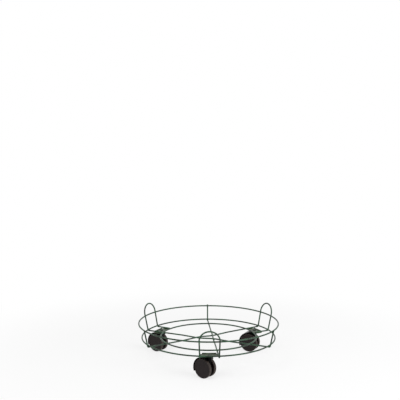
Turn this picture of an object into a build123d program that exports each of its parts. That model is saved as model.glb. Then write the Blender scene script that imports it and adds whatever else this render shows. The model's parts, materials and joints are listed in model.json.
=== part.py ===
"""A round wire plant caddy on three twin-wheel casters.

Frame: millimetres, +Z up. The origin is on the floor, on the axis of the three rings.
The front hoop and its caster are at -Y, and the others follow every 120 degrees.
"""
import os
from math import asin, atan, cos, radians, sin, sqrt, tan

from build123d import *

# Wire frame
wire_d = 3.0
weld_bite = 0.3            # how far two welded wires are pressed into each other
upper_ring_r = 151.0       # to the wire's centre line, as all ring sizes
lower_ring_inset = 6.8     # how much smaller the lower ring's radius is
inner_ring_r = 104.0
ring_rise = 30.9           # from the lower ring up to the upper ring
hoop_height = 53.3         # from the lower ring up to the top of a hoop's centre line
hoop_foot_half = 19.5      # half the distance between a hoop's legs at the lower ring
hoop_upper_half = 20.45    # and at the upper ring
upright_proud = 1.0        # how far an upright's end stands above the upper ring
wire_end_round = 0.6
weave_ramp = 42.0          # length over which a spoke rises to cross its neighbour
weave_bend_r = 150.0
station_turns = {"front": 0.0, "right": 120.0, "left": 240.0}

# Caster plate, a pressed channel under the two inward wires of a hoop
stem_inset = 23.0          # from the lower ring in to a caster's stem
plate_depth = 19.0
plate_t = 1.5
plate_overhang = 1.4       # past the wires' centre lines
plate_lip = 1.6            # how far the channel's sides rise above its sheet
plate_bend_r = 1.0         # inside the bends
plate_corner_r = 2.5
foot_to_lip_gap = 3.0      # between a wire's foot and the ends of the lips
weld_seat = 0.02           # the plate's flat top is pressed this far onto the wires

# Caster stem, washer and snap ring
stem_d = 5.0
stem_head_d = 7.6
stem_head_h = 2.4
stem_head_rim = 0.9        # height of the peened head's rim
stem_hole_gap = 0.05
stem_tip_chamfer = 0.5
washer_d = 9.6
washer_t = 0.8
thrust_gap = 0.1           # above and below the washer
bore_gap = 0.05            # running clearance of stem and axle in their bores
snap_depth = 0.5           # depth of the stem's groove
snap_band = 1.0            # radial width of the snap ring
snap_t = 0.8
snap_fit = 0.1             # axial clearance of the ring in the stem's groove
snap_clear = 0.15          # clearance between the ring and the hood's groove
snap_land = 2.1            # length of the stem below its groove
snap_mouth = 80.0          # opening of the ring, in degrees

# Caster wheels and axle
wheel_d = 40.0
wheel_w = 6.5
wheel_spacing = 9.0        # between the inner faces of the two wheels
wheel_edge_r = 1.2
rim_t = 3.0
disc_t = 1.8
dish_depth = 0.5
dish_margin = 2.6          # from the tread in to the dished face
hub_r = 4.6
axle_d = 4.0
axle_end_gap = 0.2
axle_groove_depth = 0.4
axle_groove_w = 1.0
axle_groove_at = 1.5       # from a wheel's inner face to its snap lip
snap_lip_w = 0.8
axle_chamfer = 0.4

# Caster hood
trail = 10.1               # from the stem back to the axle
caster_yaws = {"front": 140.9, "right": 153.5, "left": 141.3}  # how they trail at rest, from +X
fender_gap = 1.3           # between tread and mudguard
fender_t = 2.0
fender_side_gap = 0.5      # the wheels' outer faces stand this far out of the mudguard
fender_low_angle = -22.0   # ends of the mudguard about the axle, from the trailing side
fender_high_angle = 124.0
web_t = 5.0
web_low_angle = 22.0
web_high_angle = 120.0
neck_r = 5.0
neck_rise = 2.0            # from the mudguard's top to the top of the neck
socket_r = 4.0
socket_depth = 16.0
socket_floor = 2.5
stem_end_gap = 0.5
hub_boss_r = 4.6
hub_side_gap = 0.3         # between the hood's axle boss and a wheel's hub

# Radii that follow from the rings
lower_ring_r = upper_ring_r - lower_ring_inset
stem_at_r = lower_ring_r - stem_inset

# Heights, from the floor up
wheel_r = wheel_d / 2
wire_r = wire_d / 2
wire_pitch = wire_d - weld_bite
fender_in_r = wheel_r + fender_gap
fender_out_r = fender_in_r + fender_t
neck_top = wheel_r + fender_out_r + neck_rise
plate_bottom = neck_top + washer_t + 2 * thrust_gap
plate_top = plate_bottom + plate_t
spoke_z = plate_top + wire_r - weld_seat
lower_z = spoke_z + wire_pitch
upper_z = lower_z + ring_rise

# Lean of the rings' common cone, and what follows from it
lean = atan((upper_ring_r - lower_ring_r) / ring_rise)
cone_gap = wire_pitch / cos(lean)
fold_r = wire_pitch        # a foot is folded snugly round the lower ring


def station(place):
    """The frame turned about the ring axis, with this station's hoop at its own -Y."""
    return Plane.XY.rotated((0, 0, station_turns[place]))


def sub_plane(base, origin, x_dir, z_dir):
    """A plane given in the coordinates of another plane."""
    corner = base.from_local_coords(Vector(*origin))
    across = base.from_local_coords(Vector(*origin) + Vector(*x_dir)) - corner
    normal = base.from_local_coords(Vector(*origin) + Vector(*z_dir)) - corner
    return Plane(origin=corner, x_dir=across, z_dir=normal)


def make_ring(radius, height):
    """A closed ring of round wire."""
    with BuildPart() as ring:
        with BuildSketch(Plane.XZ):
            with Locations((radius, height)):
                Circle(wire_r)
        revolve(axis=Axis.Z)
    return ring.part


# The two legs of a hoop stand outside both rings in one leaning plane
foot_depth = sqrt((lower_ring_r + cone_gap) ** 2 - hoop_foot_half ** 2)
shoulder_depth = sqrt((upper_ring_r + cone_gap) ** 2 - hoop_upper_half ** 2)
hoop_lean = atan((shoulder_depth - foot_depth) / ring_rise)
leg_splay = atan((hoop_upper_half - hoop_foot_half) * cos(hoop_lean) / ring_rise)
hoop_reach = hoop_height / cos(hoop_lean)
arch_r = (hoop_reach * sin(leg_splay) + hoop_foot_half * cos(leg_splay)) / (1 + sin(leg_splay))
arch_centre = hoop_reach - arch_r


def on_hoop(side, up):
    """A point of the leaning hoop plane, up from the lower ring's level."""
    return Vector(side, -foot_depth - up * sin(hoop_lean), lower_z + up * cos(hoop_lean))


fold_up = (spoke_z - lower_z) / cos(hoop_lean)
foot_half = hoop_foot_half + fold_up * tan(leg_splay)
arch_side = arch_r * cos(leg_splay)
arch_up = arch_centre - arch_r * sin(leg_splay)
upright_foot_r = lower_ring_r + cone_gap - (lower_z - spoke_z) * tan(lean)
upright_top_r = upper_ring_r + cone_gap + (wire_r + upright_proud) * tan(lean)
tail_end_r = stem_at_r - plate_depth / 2

# Each spoke runs from its upright's foot to the foot of the opposite hoop's leg
spoke_start = Vector(0, upright_foot_r, spoke_z)
spoke_end = on_hoop(foot_half, fold_up)
spoke_way = (spoke_end - spoke_start).normalized()
spoke_mid = spoke_start - spoke_way * (spoke_start.X * spoke_way.X + spoke_start.Y * spoke_way.Y)
spoke_offset = sqrt(spoke_mid.X ** 2 + spoke_mid.Y ** 2)
crossing = sqrt(3) * spoke_offset

# The three spokes pass over and under each other in turn
crossing_rise = wire_pitch / 2
crossing_turn = atan(crossing_rise / weave_ramp) + atan(crossing_rise / crossing)
weave_peak = crossing_rise + weave_bend_r * (1 / cos(crossing_turn / 2) - 1)


def on_spoke(along, rise):
    """A point of the spoke, measured from its middle towards its hoop."""
    return spoke_mid + spoke_way * along + Vector(0, 0, rise)


spoke_side = [
    Vector(0, upright_top_r, upper_z + wire_r + upright_proud),
    spoke_start,
    on_spoke(-crossing - weave_ramp, 0),
    on_spoke(-crossing, weave_peak),
    on_spoke(crossing, -weave_peak),
    on_spoke(crossing + weave_ramp, 0),
    spoke_end,
    on_hoop(arch_side, arch_up),
]
arch = [on_hoop(arch_side, arch_up), on_hoop(0, hoop_reach), on_hoop(-arch_side, arch_up)]
tail_side = [
    on_hoop(-arch_side, arch_up),
    on_hoop(-foot_half, fold_up),
    Vector(-foot_half, -tail_end_r, spoke_z),
]


def make_frame_wire(place):
    """One wire: upright, spoke, fold, hoop leg, arch, leg and the tail over the plate."""
    home = station(place)
    with BuildPart() as wire:
        with BuildLine() as path:
            FilletPolyline(
                [home.from_local_coords(point) for point in spoke_side],
                radius=[fold_r] + 4 * [weave_bend_r] + [fold_r],
            )
            ThreePointArc([home.from_local_coords(point) for point in arch])
            FilletPolyline([home.from_local_coords(point) for point in tail_side], radius=fold_r)
        with BuildSketch(path.wire() ^ 0):
            Circle(wire_r)
        sweep(path=path.wire())
        ends = wire.faces().filter_by(GeomType.PLANE)
        fillet(ends.edges(), wire_end_round)
    return wire.part


def make_plate(place):
    """A channel pressed from sheet, its ears under the wires and its lips between them."""
    ear_half = hoop_foot_half + plate_overhang
    lip_half = foot_half - wire_r - foot_to_lip_gap
    side_view = sub_plane(station(place), (0, -stem_at_r, plate_top), (0, 1, 0), (1, 0, 0))
    top_view = sub_plane(station(place), (0, -stem_at_r, plate_bottom), (1, 0, 0), (0, 0, 1))
    ear_depth = plate_depth - 2 * (plate_bend_r + plate_t)
    half = plate_depth / 2
    with BuildPart() as plate:
        with BuildSketch(side_view):
            with BuildLine():
                FilletPolyline(
                    (-half, plate_lip),
                    (-half, -plate_t),
                    (half, -plate_t),
                    (half, plate_lip),
                    radius=plate_bend_r + plate_t,
                )
                Line((half, plate_lip), (half - plate_t, plate_lip))
                FilletPolyline(
                    (half - plate_t, plate_lip),
                    (half - plate_t, 0),
                    (plate_t - half, 0),
                    (plate_t - half, plate_lip),
                    radius=plate_bend_r,
                )
                Line((plate_t - half, plate_lip), (-half, plate_lip))
            make_face()
        extrude(amount=lip_half, both=True)
        with BuildSketch(top_view):
            RectangleRounded(2 * ear_half, ear_depth, plate_corner_r)
        extrude(amount=plate_t)
        with BuildSketch(top_view):
            Circle(stem_d / 2 + stem_hole_gap)
        extrude(amount=plate_t, mode=Mode.SUBTRACT)
    return plate.part


def caster_frame(place):
    """The floor under a caster's stem, with x along the trail and y along the axle."""
    foot = station(place).from_local_coords(Vector(0, -stem_at_r, 0))
    yaw = radians(caster_yaws[place])
    return Plane(origin=foot, x_dir=(cos(yaw), sin(yaw), 0), z_dir=(0, 0, 1))


def stem_section(place):
    """Radius and height plane through a caster's stem axis."""
    return sub_plane(caster_frame(place), (0, 0, 0), (1, 0, 0), (0, -1, 0))


def axle_section(place, side):
    """Plane through an axle, x outwards along it from the middle and y the radius."""
    return sub_plane(caster_frame(place), (trail, 0, wheel_r), (0, side, 0), (side, 0, 0))


def side_section(place):
    """Upright plane through the middle of a caster, with its origin on the axle."""
    return sub_plane(caster_frame(place), (trail, 0, wheel_r), (1, 0, 0), (0, -1, 0))


# Levels along the stem
stem_bottom = neck_top - socket_depth + stem_end_gap
groove_bottom = stem_bottom + snap_land
groove_top = groove_bottom + snap_t + 2 * snap_fit


def make_stem(place):
    """A steel pin peened over on top of the plate, with a groove for the snap ring."""
    radius = stem_d / 2
    dome_foot = plate_top + stem_head_rim
    dome_top = plate_top + stem_head_h
    dome_r = ((stem_head_d / 2) ** 2 + (dome_top - dome_foot) ** 2) / (2 * (dome_top - dome_foot))
    dome_angle = asin(stem_head_d / 2 / dome_r)
    section = stem_section(place)
    with BuildPart() as stem:
        with BuildSketch(section):
            with BuildLine():
                Polyline(
                    (0, dome_top),
                    (0, stem_bottom),
                    (radius - stem_tip_chamfer, stem_bottom),
                    (radius, stem_bottom + stem_tip_chamfer),
                    (radius, groove_bottom),
                    (radius - snap_depth, groove_bottom),
                    (radius - snap_depth, groove_top),
                    (radius, groove_top),
                    (radius, plate_top),
                    (stem_head_d / 2, plate_top),
                    (stem_head_d / 2, dome_foot),
                )
                ThreePointArc(
                    (stem_head_d / 2, dome_foot),
                    (dome_r * sin(dome_angle / 2), dome_top - dome_r * (1 - cos(dome_angle / 2))),
                    (0, dome_top),
                )
            make_face()
        revolve(axis=Axis(section.origin, (0, 0, 1)))
    return stem.part


def make_washer(place):
    """The thrust washer between neck and plate."""
    with BuildPart() as washer:
        with BuildSketch(caster_frame(place).offset(neck_top + thrust_gap)):
            Circle(washer_d / 2)
            Circle(stem_d / 2 + bore_gap, mode=Mode.SUBTRACT)
        extrude(amount=washer_t)
    return washer.part


def make_snap_ring(place):
    """An open spring ring in the stem's groove."""
    inner = stem_d / 2 - snap_depth + bore_gap
    with BuildPart() as ring:
        with BuildSketch(caster_frame(place).offset(groove_bottom + snap_fit)):
            Circle(inner + snap_band)
            Circle(inner, mode=Mode.SUBTRACT)
            spread = stem_d * tan(radians(snap_mouth / 2))
            with BuildLine():
                Polyline((0, 0), (stem_d, spread), (stem_d, -spread), close=True)
            make_face(mode=Mode.SUBTRACT)
        extrude(amount=snap_t)
    return ring.part


def make_axle(place):
    """A steel pin with a groove near each end."""
    radius = axle_d / 2
    groove_in = wheel_spacing / 2 + axle_groove_at - (axle_groove_w - snap_lip_w) / 2
    groove_out = groove_in + axle_groove_w
    half = wheel_spacing / 2 + wheel_w - dish_depth - disc_t - axle_end_gap
    groove_r = radius - axle_groove_depth
    section = axle_section(place, 1)
    with BuildPart() as axle:
        with BuildSketch(section):
            with BuildLine():
                Polyline(
                    (0, 0),
                    (half, 0),
                    (half, radius - axle_chamfer),
                    (half - axle_chamfer, radius),
                    (groove_out, radius),
                    (groove_out, groove_r),
                    (groove_in, groove_r),
                    (groove_in, radius),
                    (0, radius),
                    close=True,
                )
            make_face()
            mirror(about=Plane.YZ)
        revolve(axis=Axis(section.origin, section.x_dir))
    return axle.part


def make_wheel(place, side):
    """A moulded wheel, open towards the hood, with a snap lip in its blind hub."""
    inner = wheel_spacing / 2
    outer = inner + wheel_w
    bore_r = axle_d / 2 + bore_gap
    lip_r = axle_d / 2 - axle_groove_depth + bore_gap
    lip_in = inner + axle_groove_at
    lip_out = lip_in + snap_lip_w
    disc_in = outer - dish_depth - disc_t
    dish_r = wheel_r - dish_margin
    section = axle_section(place, side)
    with BuildPart() as wheel:
        with BuildSketch(section):
            with BuildLine():
                FilletPolyline(
                    (inner, wheel_r - rim_t),
                    (inner, wheel_r),
                    (outer, wheel_r),
                    (outer, dish_r),
                    (outer - dish_depth, dish_r - dish_depth),
                    (outer - dish_depth, 0),
                    radius=[wheel_edge_r, wheel_edge_r, dish_depth, dish_depth],
                )
                Polyline(
                    (outer - dish_depth, 0),
                    (disc_in, 0),
                    (disc_in, bore_r),
                    (lip_out, bore_r),
                    (lip_out, lip_r),
                    (lip_in, lip_r),
                    (lip_in, bore_r),
                    (inner, bore_r),
                    (inner, hub_r),
                    (disc_in, hub_r),
                    (disc_in, wheel_r - rim_t),
                    (inner, wheel_r - rim_t),
                )
            make_face()
        revolve(axis=Axis(section.origin, section.x_dir))
    return wheel.part


def polar(radius, angle):
    """A point of the side view, by its radius and angle about the axle."""
    return (radius * cos(radians(angle)), radius * sin(radians(angle)))


def make_hood(place):
    """The moulded hood: mudguard, web, axle boss, neck and stem socket."""
    side = side_section(place)
    floor_plane = caster_frame(place)
    fender_w = wheel_spacing + 2 * (wheel_w - fender_side_gap)
    boss_half = wheel_spacing / 2 - hub_side_gap
    mid_angle = (fender_low_angle + fender_high_angle) / 2
    web_mid = (web_low_angle + web_high_angle) / 2
    wedge_reach = fender_out_r / cos(radians((web_high_angle - web_low_angle) / 4))
    web_r = (fender_in_r + fender_out_r) / 2
    socket_bottom = neck_top - socket_depth
    groove_r = stem_d / 2 - snap_depth + bore_gap + snap_band + snap_clear
    neck_foot = wheel_r + sqrt(fender_in_r ** 2 - (trail + neck_r) ** 2)
    with BuildPart() as hood:
        with BuildSketch(floor_plane.offset(neck_foot)):
            Circle(neck_r)
        extrude(amount=neck_top - neck_foot)
        with BuildSketch(side):
            Circle(fender_in_r)
        extrude(amount=fender_w / 2, both=True, mode=Mode.SUBTRACT)
        with BuildSketch(side):
            with BuildLine():
                ThreePointArc(
                    polar(fender_out_r, fender_low_angle),
                    polar(fender_out_r, mid_angle),
                    polar(fender_out_r, fender_high_angle),
                )
                Line(polar(fender_out_r, fender_high_angle), polar(fender_in_r, fender_high_angle))
                ThreePointArc(
                    polar(fender_in_r, fender_high_angle),
                    polar(fender_in_r, mid_angle),
                    polar(fender_in_r, fender_low_angle),
                )
                Line(polar(fender_in_r, fender_low_angle), polar(fender_out_r, fender_low_angle))
            make_face()
        extrude(amount=fender_w / 2, both=True)
        with BuildSketch(side):
            Circle(web_r)
            with BuildLine():
                Polyline(
                    (0, 0),
                    polar(wedge_reach, web_low_angle),
                    polar(wedge_reach, web_mid),
                    polar(wedge_reach, web_high_angle),
                    close=True,
                )
            make_face(mode=Mode.INTERSECT)
        extrude(amount=web_t / 2, both=True)
        with BuildSketch(side):
            Circle(hub_boss_r)
        extrude(amount=boss_half, both=True)
        with BuildSketch(floor_plane.offset(socket_bottom - socket_floor)):
            Circle(socket_r)
        extrude(amount=neck_top - socket_bottom + socket_floor)
        with BuildSketch(floor_plane.offset(neck_top)):
            Circle(stem_d / 2 + bore_gap)
        extrude(amount=-socket_depth, mode=Mode.SUBTRACT)
        with BuildSketch(floor_plane.offset(groove_bottom + snap_fit - snap_clear)):
            Circle(groove_r)
        extrude(amount=snap_t + 2 * snap_clear, mode=Mode.SUBTRACT)
        with BuildSketch(side):
            Circle(axle_d / 2)
        extrude(amount=boss_half, both=True, mode=Mode.SUBTRACT)
    return hood.part


def save(part, name):
    """Label a piece and write it to its own file."""
    part.label = name
    export_step(part, f"parts/{name}.step")


os.makedirs("parts", exist_ok=True)

save(make_ring(upper_ring_r, upper_z), "upper_ring")
save(make_ring(lower_ring_r, lower_z), "lower_ring")
save(make_ring(inner_ring_r, lower_z), "inner_ring")

for place in station_turns:
    save(make_frame_wire(place), f"{place}_frame_wire")
    save(make_plate(place), f"{place}_caster_plate")
    save(make_stem(place), f"{place}_caster_stem")
    save(make_washer(place), f"{place}_thrust_washer")
    save(make_snap_ring(place), f"{place}_snap_ring")
    save(make_hood(place), f"{place}_caster_hood")
    save(make_axle(place), f"{place}_axle")
    save(make_wheel(place, 1), f"{place}_wheel_1")
    save(make_wheel(place, -1), f"{place}_wheel_2")
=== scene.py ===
import json
import math

import bmesh
import bpy
from mathutils import Matrix, Vector
from mathutils.bvhtree import BVHTree


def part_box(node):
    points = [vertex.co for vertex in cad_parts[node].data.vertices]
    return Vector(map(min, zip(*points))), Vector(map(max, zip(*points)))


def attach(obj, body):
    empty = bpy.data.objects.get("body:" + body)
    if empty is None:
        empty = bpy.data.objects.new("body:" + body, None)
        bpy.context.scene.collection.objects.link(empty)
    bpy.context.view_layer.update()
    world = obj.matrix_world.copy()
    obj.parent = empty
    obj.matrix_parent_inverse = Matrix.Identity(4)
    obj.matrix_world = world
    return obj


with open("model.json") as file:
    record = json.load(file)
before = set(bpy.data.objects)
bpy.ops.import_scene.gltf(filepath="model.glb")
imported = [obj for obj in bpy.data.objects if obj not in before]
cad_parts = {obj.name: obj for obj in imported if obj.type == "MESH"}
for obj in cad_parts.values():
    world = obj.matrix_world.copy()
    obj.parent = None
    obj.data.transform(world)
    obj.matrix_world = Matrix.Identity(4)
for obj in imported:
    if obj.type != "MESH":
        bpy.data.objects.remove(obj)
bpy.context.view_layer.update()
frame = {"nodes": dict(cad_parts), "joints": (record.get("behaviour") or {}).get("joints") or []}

# Metres, in the frame of the CAD part: origin on the floor on the ring axis, front hoop at -Y.
MM = 0.001
NODES = frame["nodes"]
STATIONS = ("front", "right", "left")
STATION_STEP = math.radians(120)

# Sizes read from the frame
ring_low, ring_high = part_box("lower_ring")
LOWER_RING_HEIGHT = (ring_low.z + ring_high.z) / 2
wheel_low, wheel_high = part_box("front_wheel_1")
WHEEL_R = (wheel_high.z - wheel_low.z) / 2


# Node graphs

class Graph:
    """A material's node tree, with short calls for the nodes used here."""

    def __init__(self, name):
        self.material = bpy.data.materials.new(name)
        self.material.use_nodes = True
        self.tree = self.material.node_tree
        self.tree.nodes.clear()
        self.shader = self.tree.nodes.new("ShaderNodeBsdfPrincipled")
        self.output = self.tree.nodes.new("ShaderNodeOutputMaterial")
        self.feed(self.output.inputs["Surface"], self.shader.outputs["BSDF"])
        self.place = self.node("ShaderNodeTexCoord").outputs["Object"]

    def node(self, kind, **settings):
        made = self.tree.nodes.new(kind)
        for key, value in settings.items():
            setattr(made, key, value)
        return made

    def feed(self, socket, value):
        """A socket takes either another node's output or a plain value."""
        if isinstance(value, bpy.types.NodeSocket):
            self.tree.links.new(value, socket)
        else:
            socket.default_value = value

    def math(self, operation, first, second=0.0):
        made = self.node("ShaderNodeMath", operation=operation)
        self.feed(made.inputs[0], first)
        self.feed(made.inputs[1], second)
        return made.outputs["Value"]

    def vector(self, x, y, z=0.0):
        made = self.node("ShaderNodeCombineXYZ")
        self.feed(made.inputs["X"], x)
        self.feed(made.inputs["Y"], y)
        self.feed(made.inputs["Z"], z)
        return made.outputs["Vector"]

    def length(self, vector):
        made = self.node("ShaderNodeVectorMath", operation="LENGTH")
        self.feed(made.inputs[0], vector)
        return made.outputs["Value"]

    def span(self, value, low, high, to_low=0.0, to_high=1.0):
        """Takes value from the range low..high to the range to_low..to_high, smoothly."""
        made = self.node("ShaderNodeMapRange", interpolation_type="SMOOTHSTEP")
        self.feed(made.inputs["Value"], value)
        self.feed(made.inputs["From Min"], low)
        self.feed(made.inputs["From Max"], high)
        self.feed(made.inputs["To Min"], to_low)
        self.feed(made.inputs["To Max"], to_high)
        return made.outputs["Result"]

    def noise(self, grain, detail, rough=0.55, place=None, stretch=None, distort=0.0):
        """Noise whose blotches are about grain metres across."""
        place = place or self.place
        if stretch:
            mapping = self.node("ShaderNodeMapping")
            mapping.inputs["Scale"].default_value = stretch
            self.feed(mapping.inputs["Vector"], place)
            place = mapping.outputs["Vector"]
        made = self.node("ShaderNodeTexNoise")
        self.feed(made.inputs["Vector"], place)
        made.inputs["Scale"].default_value = 1 / grain
        made.inputs["Detail"].default_value = detail
        made.inputs["Roughness"].default_value = rough
        made.inputs["Distortion"].default_value = distort
        return made.outputs["Fac"]

    def mix(self, share, first, second):
        """A blend of two colours, each a node's output or red, green and blue."""
        made = self.node("ShaderNodeMix", data_type="RGBA")
        self.feed(made.inputs["Factor"], share)
        for socket, colour in ((made.inputs[6], first), (made.inputs[7], second)):
            self.feed(socket, (*colour, 1.0) if isinstance(colour, tuple) else colour)
        return made.outputs[2]

    def bump(self, height, depth, before=None):
        """Relief whose height runs from 0 to depth metres."""
        made = self.node("ShaderNodeBump")
        made.inputs["Strength"].default_value = 1.0
        made.inputs["Distance"].default_value = depth
        self.feed(made.inputs["Height"], height)
        if before:
            self.feed(made.inputs["Normal"], before)
        return made.outputs["Normal"]

    def set(self, **inputs):
        """Sets the shader's inputs, written as base_color for Base Color."""
        for key, value in inputs.items():
            name = key.replace("_", " ").title().replace("Ior", "IOR")
            if isinstance(value, tuple) and len(value) == 3:
                value = (*value, 1.0)
            self.feed(self.shader.inputs[name], value)
        return self.material


def linear(red, green, blue):
    """A colour given in 0..255 as it looks on screen, as scene values."""
    def one(level):
        share = level / 255
        return share / 12.92 if share <= 0.04045 else ((share + 0.055) / 1.055) ** 2.4
    return tuple(one(level) for level in (red, green, blue))


# Materials

WIRE_GREENS = (linear(18, 37, 21), linear(42, 79, 53))
# The plate has the wires' green coating. Its greens are lighter as painted reflection of the
# bright surroundings on its flat top.
PLATE_GREENS_PAINTED_LIGHTER = (linear(40, 52, 36), linear(80, 92, 70))
ZINC_TONES = (linear(80, 88, 84), linear(58, 60, 48))
HOOD_BLACK = linear(3, 3, 3)
HOOD_DUST = linear(26, 24, 22)
WHEEL_TONES = (linear(22, 13, 13), linear(29, 20, 19))
# Pale tread colour: partly wear, and made lighter as painted light falling on the tread.
WHEEL_WEAR_AND_PAINTED_LIGHT = linear(88, 79, 72)
COAT_GLEAM = 0.3                   # specular levels
WHEEL_GLEAM = 0.2
HOOD_GLEAM = 0.05


def coated_steel(name, tones):
    """Green powder coat: blotchy depth of colour, orange peel, nibs and fine rubbed marks."""
    dark, light = tones
    g = Graph(name)
    blotch = g.noise(14 * MM, detail=4)
    fine = g.noise(1.6 * MM, detail=2)
    colour = g.mix(g.span(blotch, 0.35, 0.68), dark, light)
    rub = g.noise(2.2 * MM, detail=6, rough=0.75, distort=0.6)
    rubbed = g.span(rub, 0.66, 0.76, 0.0, 0.18)
    pale = tuple(min(1.0, 1.8 * level + 0.02) for level in light)
    colour = g.mix(rubbed, colour, pale)
    peel = g.bump(fine, 0.05 * MM)
    nib = g.span(g.noise(0.7 * MM, detail=1), 0.70, 0.80)
    nibs = g.bump(nib, 0.03 * MM, peel)
    sheen = g.span(blotch, 0.3, 0.7, 0.26, 0.40)
    roughness = g.math("ADD", sheen, g.math("MULTIPLY", rubbed, 0.5))
    return g.set(base_color=colour, roughness=roughness, normal=nibs,
                 specular_ior_level=COAT_GLEAM)


def zinc_steel():
    """Dull zinc plate with an olive passivate, faint spangle and turning marks."""
    g = Graph("zinc")
    spangle = g.node("ShaderNodeTexVoronoi", feature="F1")
    g.feed(spangle.inputs["Vector"], g.place)
    spangle.inputs["Scale"].default_value = 1 / (1.1 * MM)
    cell = g.node("ShaderNodeSeparateColor")
    g.feed(cell.inputs["Color"], spangle.outputs["Color"])
    film = g.noise(3 * MM, detail=5, rough=0.65)
    colour = g.mix(g.span(film, 0.35, 0.7), *ZINC_TONES)
    marks = g.noise(0.5 * MM, detail=2, stretch=(0.25, 0.25, 4.0))
    grain = g.span(cell.outputs["Red"], 0, 1, 0.28, 0.44)
    roughness = g.math("ADD", grain, g.span(film, 0.4, 0.7, 0.0, 0.15))
    return g.set(base_color=colour, metallic=0.9, roughness=roughness,
                 normal=g.bump(marks, 0.02 * MM))


def hood_plastic():
    """Black moulding: flow waves, fine grain and dusty patches."""
    g = Graph("hood")
    flow = g.noise(7 * MM, detail=2, stretch=(1.0, 1.0, 0.4))
    grain = g.noise(0.45 * MM, detail=2)
    dust = g.span(g.noise(4 * MM, detail=7, rough=0.7), 0.5, 0.75)
    colour = g.mix(g.math("MULTIPLY", dust, 0.1), HOOD_BLACK, HOOD_DUST)
    relief = g.bump(grain, 0.012 * MM, g.bump(flow, 0.05 * MM))
    roughness = g.span(dust, 0, 1, 0.2, 0.42)
    return g.set(base_color=colour, roughness=roughness, normal=relief,
                 specular_ior_level=HOOD_GLEAM)


def wheel_place(g, node):
    """Object coordinates moved to a wheel's centre, with z along its axle."""
    low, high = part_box(node)
    centre = (low + high) / 2
    spin = next(joint for joint in frame["joints"] if joint["child"] == node)
    axle = Vector(spin["axis"]).normalized()
    turn = axle.rotation_difference(Vector((0, 0, 1))).to_matrix()
    mapping = g.node("ShaderNodeMapping")
    mapping.inputs["Rotation"].default_value = turn.to_euler("XYZ")
    mapping.inputs["Location"].default_value = -(turn @ centre)
    g.feed(mapping.inputs["Vector"], g.place)
    local = g.node("ShaderNodeSeparateXYZ")
    g.feed(local.inputs["Vector"], mapping.outputs["Vector"])
    return local.outputs["X"], local.outputs["Y"], local.outputs["Z"]


def wheel_plastic(node):
    """Matt black wheel: mould rings on the disc, and a scuffed tread whose pale colour is partly
    wear and partly painted light.
    """
    g = Graph(node + "_plastic")
    x, y, z = wheel_place(g, node)
    radius = g.length(g.vector(x, y))
    angle = g.math("ARCTAN2", y, x)
    rolled = g.vector(g.math("MULTIPLY", angle, 5 * MM), radius, z)
    tread = g.span(radius, WHEEL_R - 1.6 * MM, WHEEL_R - 0.2 * MM)
    scuff = g.noise(1.4 * MM, detail=6, rough=0.7, place=rolled)
    haze = g.noise(9 * MM, detail=5, rough=0.6)
    # Scuffs on the tread: real wear, whose pale colour also stands in as painted light on the
    # tread.
    wear_and_painted_light = g.math("MULTIPLY", tread, g.span(scuff, 0.42, 0.7, 0.15, 0.9))
    base = g.mix(g.span(haze, 0.35, 0.7), *WHEEL_TONES)
    colour = g.mix(wear_and_painted_light, base, WHEEL_WEAR_AND_PAINTED_LIGHT)
    rings = g.math("SINE", g.math("MULTIPLY", radius, 2 * math.pi / (0.55 * MM)))
    relief = g.bump(rings, 0.004 * MM)
    relief = g.bump(g.noise(0.6 * MM, detail=3), 0.015 * MM, relief)
    relief = g.bump(g.math("MULTIPLY", scuff, tread), 0.08 * MM, relief)
    sheen = g.span(haze, 0.3, 0.7, 0.42, 0.55)
    roughness = g.math("ADD", sheen, g.math("MULTIPLY", wear_and_painted_light, 0.25))
    return g.set(base_color=colour, roughness=roughness, normal=relief,
                 specular_ior_level=WHEEL_GLEAM)


def dress(node, material):
    """Gives a CAD node its material."""
    slots = NODES[node].data.materials
    slots.clear()
    slots.append(material)


green_wire = coated_steel("green_wire", WIRE_GREENS)
# The plate's copy of the wire coating is lighter: painted reflection on its top.
green_plate_painted_lighter = coated_steel("green_plate_painted_lighter", PLATE_GREENS_PAINTED_LIGHTER)
zinc = zinc_steel()
hood_black = hood_plastic()

for ring in ("upper_ring", "lower_ring", "inner_ring"):
    dress(ring, green_wire)
for station in STATIONS:
    dress(f"{station}_frame_wire", green_wire)
    dress(f"{station}_caster_plate", green_plate_painted_lighter)
    dress(f"{station}_caster_hood", hood_black)
    for piece in ("caster_stem", "thrust_washer", "snap_ring", "axle"):
        dress(f"{station}_{piece}", zinc)
    for number in (1, 2):
        wheel = f"{station}_wheel_{number}"
        dress(wheel, wheel_plastic(wheel))


# Welds: metal and coating that round the corners where the wires meet

WELD_REACH = 4.0                   # mm, how much of each wire is taken into a weld's copy
WELD_FILL = 0.75                   # mm, radius of the rounded corners
WELD_SINK = 0.03                   # mm, by which a copy lies under the wires' own surfaces
WELD_VOXEL = 0.2                   # mm
WELD_SMOOTHING = 3                 # times
CLUSTER_GAP = 6.0                  # mm between touching faces of one weld
SAME_POINT = 0.001                 # mm


def solid_in_mm(node):
    """A CAD node's mesh as a bmesh in millimetres."""
    shape = bmesh.new()
    shape.from_mesh(NODES[node].data)
    bmesh.ops.scale(shape, vec=(1 / MM,) * 3, verts=shape.verts)
    bmesh.ops.remove_doubles(shape, verts=shape.verts, dist=SAME_POINT)
    return shape


def mesh_of(shape, name="weld"):
    """A bmesh as a mesh; the bmesh is freed."""
    mesh = bpy.data.meshes.new(name)
    shape.to_mesh(mesh)
    shape.free()
    return mesh


def add_shape(whole, shape):
    """Adds one bmesh to another and frees the first."""
    mesh = mesh_of(shape)
    whole.from_mesh(mesh)
    bpy.data.meshes.remove(mesh)


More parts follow.
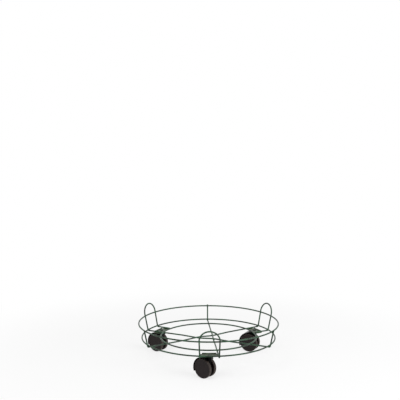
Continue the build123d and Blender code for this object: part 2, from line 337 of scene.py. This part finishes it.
def meeting_places(first, second):
    """Boxes round the places where two solids reach into each other."""
    pairs = BVHTree.FromBMesh(first).overlap(BVHTree.FromBMesh(second))
    first.faces.ensure_lookup_table()
    spots = [first.faces[a].calc_center_median() for a, b in pairs]
    groups = []
    for spot in spots:
        near = [g for g in groups if any((spot - other).length < CLUSTER_GAP for other in g)]
        merged = [spot] + [other for g in near for other in g]
        groups = [g for g in groups if g not in near] + [merged]
    margin = Vector((WELD_REACH,) * 3)
    boxes = []
    for group in groups:
        low = Vector([min(spot[k] for spot in group) for k in range(3)])
        high = Vector([max(spot[k] for spot in group) for k in range(3)])
        boxes.append((low - margin, high + margin))
    return boxes


def cut_out(shape, low, high):
    """The part of a solid that lies in a box, closed again."""
    piece = shape.copy()
    for axis in range(3):
        for edge, way in ((low, -1.0), (high, 1.0)):
            normal = Vector((0, 0, 0))
            normal[axis] = way
            everything = piece.verts[:] + piece.edges[:] + piece.faces[:]
            bmesh.ops.bisect_plane(piece, geom=everything, plane_co=edge, plane_no=normal,
                                   clear_outer=True)
            rim = [e for e in piece.edges if e.is_boundary]
            if rim:
                bmesh.ops.holes_fill(piece, edges=rim, sides=0)
    return piece


def skin_round(shape, distance):
    """One closed skin round everything in a bmesh, then moved along its normals."""
    holder = bpy.data.objects.new("weld", mesh_of(shape))
    bpy.context.scene.collection.objects.link(holder)
    modifier = holder.modifiers.new("skin", "REMESH")
    modifier.mode = "VOXEL"
    modifier.voxel_size = WELD_VOXEL
    seen = holder.evaluated_get(bpy.context.evaluated_depsgraph_get())
    mesh = bpy.data.meshes.new_from_object(seen)
    bpy.data.objects.remove(holder)
    skin = bmesh.new()
    skin.from_mesh(mesh)
    bpy.data.meshes.remove(mesh)
    skin.normal_update()
    for vert in skin.verts:
        vert.co += vert.normal * distance
    return skin


def stands_out(tree, spot):
    """True where a point is outside the solid that the tree was made from."""
    near, normal, index, distance = tree.find_nearest(spot)
    return (spot - near).dot(normal) > 0


def weld_metal(solids, low, high):
    """The metal that rounds the inner corners of the solids in a box."""
    together = bmesh.new()
    for solid in solids:
        add_shape(together, cut_out(solid, low, high))
    swollen = skin_round(together, WELD_FILL)
    metal = skin_round(swollen, -WELD_FILL - WELD_SINK)
    for repeat in range(WELD_SMOOTHING):
        bmesh.ops.smooth_vert(metal, verts=metal.verts, factor=0.5,
                              use_axis_x=True, use_axis_y=True, use_axis_z=True)
    trees = [BVHTree.FromBMesh(solid) for solid in solids]
    seen = {v for v in metal.verts if all(stands_out(tree, v.co) for tree in trees)}
    hidden = [face for face in metal.faces if not seen.intersection(face.verts)]
    bmesh.ops.delete(metal, geom=hidden, context="FACES")
    return metal


def add_welds():
    """The front station's welds, and the same turned to the other two."""
    wire = solid_in_mm("front_frame_wire")
    joined = bmesh.new()
    for node in ("upper_ring", "lower_ring", "inner_ring", "right_frame_wire"):
        other = solid_in_mm(node)
        for low, high in meeting_places(wire, other):
            add_shape(joined, weld_metal((wire, other), low, high))
        other.free()
    wire.free()
    bmesh.ops.scale(joined, vec=(MM,) * 3, verts=joined.verts)
    for face in joined.faces:
        face.smooth = True
    for number, station in enumerate(STATIONS):
        mesh = mesh_of(joined.copy(), f"{station}_welds")
        mesh.transform(Matrix.Rotation(number * STATION_STEP, 4, "Z"))
        mesh.materials.append(green_wire)
        welds = bpy.data.objects.new(f"{station}_welds", mesh)
        bpy.context.scene.collection.objects.link(welds)
        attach(welds, "frame")
    joined.free()


add_welds()


# Camera: the view from which the photograph was taken
IMAGE_PX = 400
FOCAL_PX = 695.9
PITCH = math.radians(4.855)        # downwards
VIEW_TURN = math.radians(-0.148)   # about the ring axis, from looking along +Y
CAMERA_BACK = 1.4861
CAMERA_SIDE = -0.01838
CAMERA_OVER_RING = 0.4237          # above the lower ring's centre line
SENSOR_MM = 36.0
CLIP_NEAR = 0.05
CLIP_FAR = 50.0


def add_camera():
    data = bpy.data.cameras.new("camera")
    data.sensor_width = SENSOR_MM
    data.lens = FOCAL_PX / IMAGE_PX * SENSOR_MM
    data.clip_start = CLIP_NEAR
    data.clip_end = CLIP_FAR
    camera = bpy.data.objects.new("camera", data)
    bpy.context.scene.collection.objects.link(camera)
    turn = Matrix.Rotation(VIEW_TURN, 4, "Z")
    height = LOWER_RING_HEIGHT + CAMERA_OVER_RING
    spot = Matrix.Translation((CAMERA_SIDE, -CAMERA_BACK, height))
    camera.matrix_world = turn @ spot @ Matrix.Rotation(math.pi / 2 - PITCH, 4, "X")
    bpy.context.scene.camera = camera


# Studio: a white floor and surroundings, with soft lamps above
FLOOR_HALF = 6.0
FLOOR_CELLS = 8
FLOOR_GREY = (0.92, 0.92, 0.92)
FLOOR_ROUGHNESS = 0.9
FLOOR_SHADE_R = 0.30               # inside this the floor shows its shadows evenly
FLOOR_FADE_R = 0.75                # from here out it is as white as the surroundings
FLOOR_LIFT = 0.7                   # share of plain white that the floor near the caddy has
SURROUND_LIGHT = 0.5
LAMP_AIM = Vector((0, 0, 0.05))
LAMPS = (                          # name, place, size and watts
    ("key", Vector((-0.9, -1.2, 1.7)), 1.0, 17),
    ("fill", Vector((1.4, -0.9, 0.8)), 1.2, 20),
)


def add_floor():
    shape = bmesh.new()
    bmesh.ops.create_grid(shape, x_segments=FLOOR_CELLS, y_segments=FLOOR_CELLS, size=FLOOR_HALF)
    mesh = mesh_of(shape, "floor")
    floor = bpy.data.objects.new("floor", mesh)
    bpy.context.scene.collection.objects.link(floor)
    g = Graph("floor_white")
    g.set(base_color=FLOOR_GREY, roughness=FLOOR_ROUGHNESS)
    glow = g.node("ShaderNodeEmission")
    rays = g.node("ShaderNodeLightPath")
    seen = g.math("MAXIMUM", rays.outputs["Is Camera Ray"], rays.outputs["Is Glossy Ray"])
    far = g.span(g.length(g.place), FLOOR_SHADE_R, FLOOR_FADE_R, FLOOR_LIFT, 1.0)
    blend = g.node("ShaderNodeMixShader")
    g.feed(blend.inputs[0], g.math("MULTIPLY", seen, far))
    g.feed(blend.inputs[1], g.shader.outputs["BSDF"])
    g.feed(blend.inputs[2], glow.outputs["Emission"])
    g.feed(g.output.inputs["Surface"], blend.outputs["Shader"])
    mesh.materials.append(g.material)


def add_lamp(name, spot, size, watts):
    data = bpy.data.lights.new(name, "AREA")
    data.shape = "SQUARE"
    data.size = size
    data.energy = watts
    lamp = bpy.data.objects.new(name, data)
    bpy.context.scene.collection.objects.link(lamp)
    lamp.location = spot
    lamp.rotation_euler = (LAMP_AIM - spot).to_track_quat("-Z", "Y").to_euler()


def add_world():
    """Plain white where the camera or a reflection sees it, softer as a light."""
    world = bpy.data.worlds.new("studio")
    bpy.context.scene.world = world
    world.use_nodes = True
    tree = world.node_tree
    tree.nodes.clear()
    output = tree.nodes.new("ShaderNodeOutputWorld")
    seen = tree.nodes.new("ShaderNodeBackground")
    lit = tree.nodes.new("ShaderNodeBackground")
    for background, strength in ((seen, 1.0), (lit, SURROUND_LIGHT)):
        background.inputs["Color"].default_value = (1, 1, 1, 1)
        background.inputs["Strength"].default_value = strength
    rays = tree.nodes.new("ShaderNodeLightPath")
    either = tree.nodes.new("ShaderNodeMath")
    either.operation = "MAXIMUM"
    tree.links.new(rays.outputs["Is Camera Ray"], either.inputs[0])
    tree.links.new(rays.outputs["Is Glossy Ray"], either.inputs[1])
    mix = tree.nodes.new("ShaderNodeMixShader")
    tree.links.new(either.outputs[0], mix.inputs[0])
    tree.links.new(lit.outputs[0], mix.inputs[1])
    tree.links.new(seen.outputs[0], mix.inputs[2])
    tree.links.new(mix.outputs[0], output.inputs["Surface"])


add_camera()
add_floor()
add_world()
for lamp_values in LAMPS:
    add_lamp(*lamp_values)
bpy.context.scene.view_settings.view_transform = "Standard"
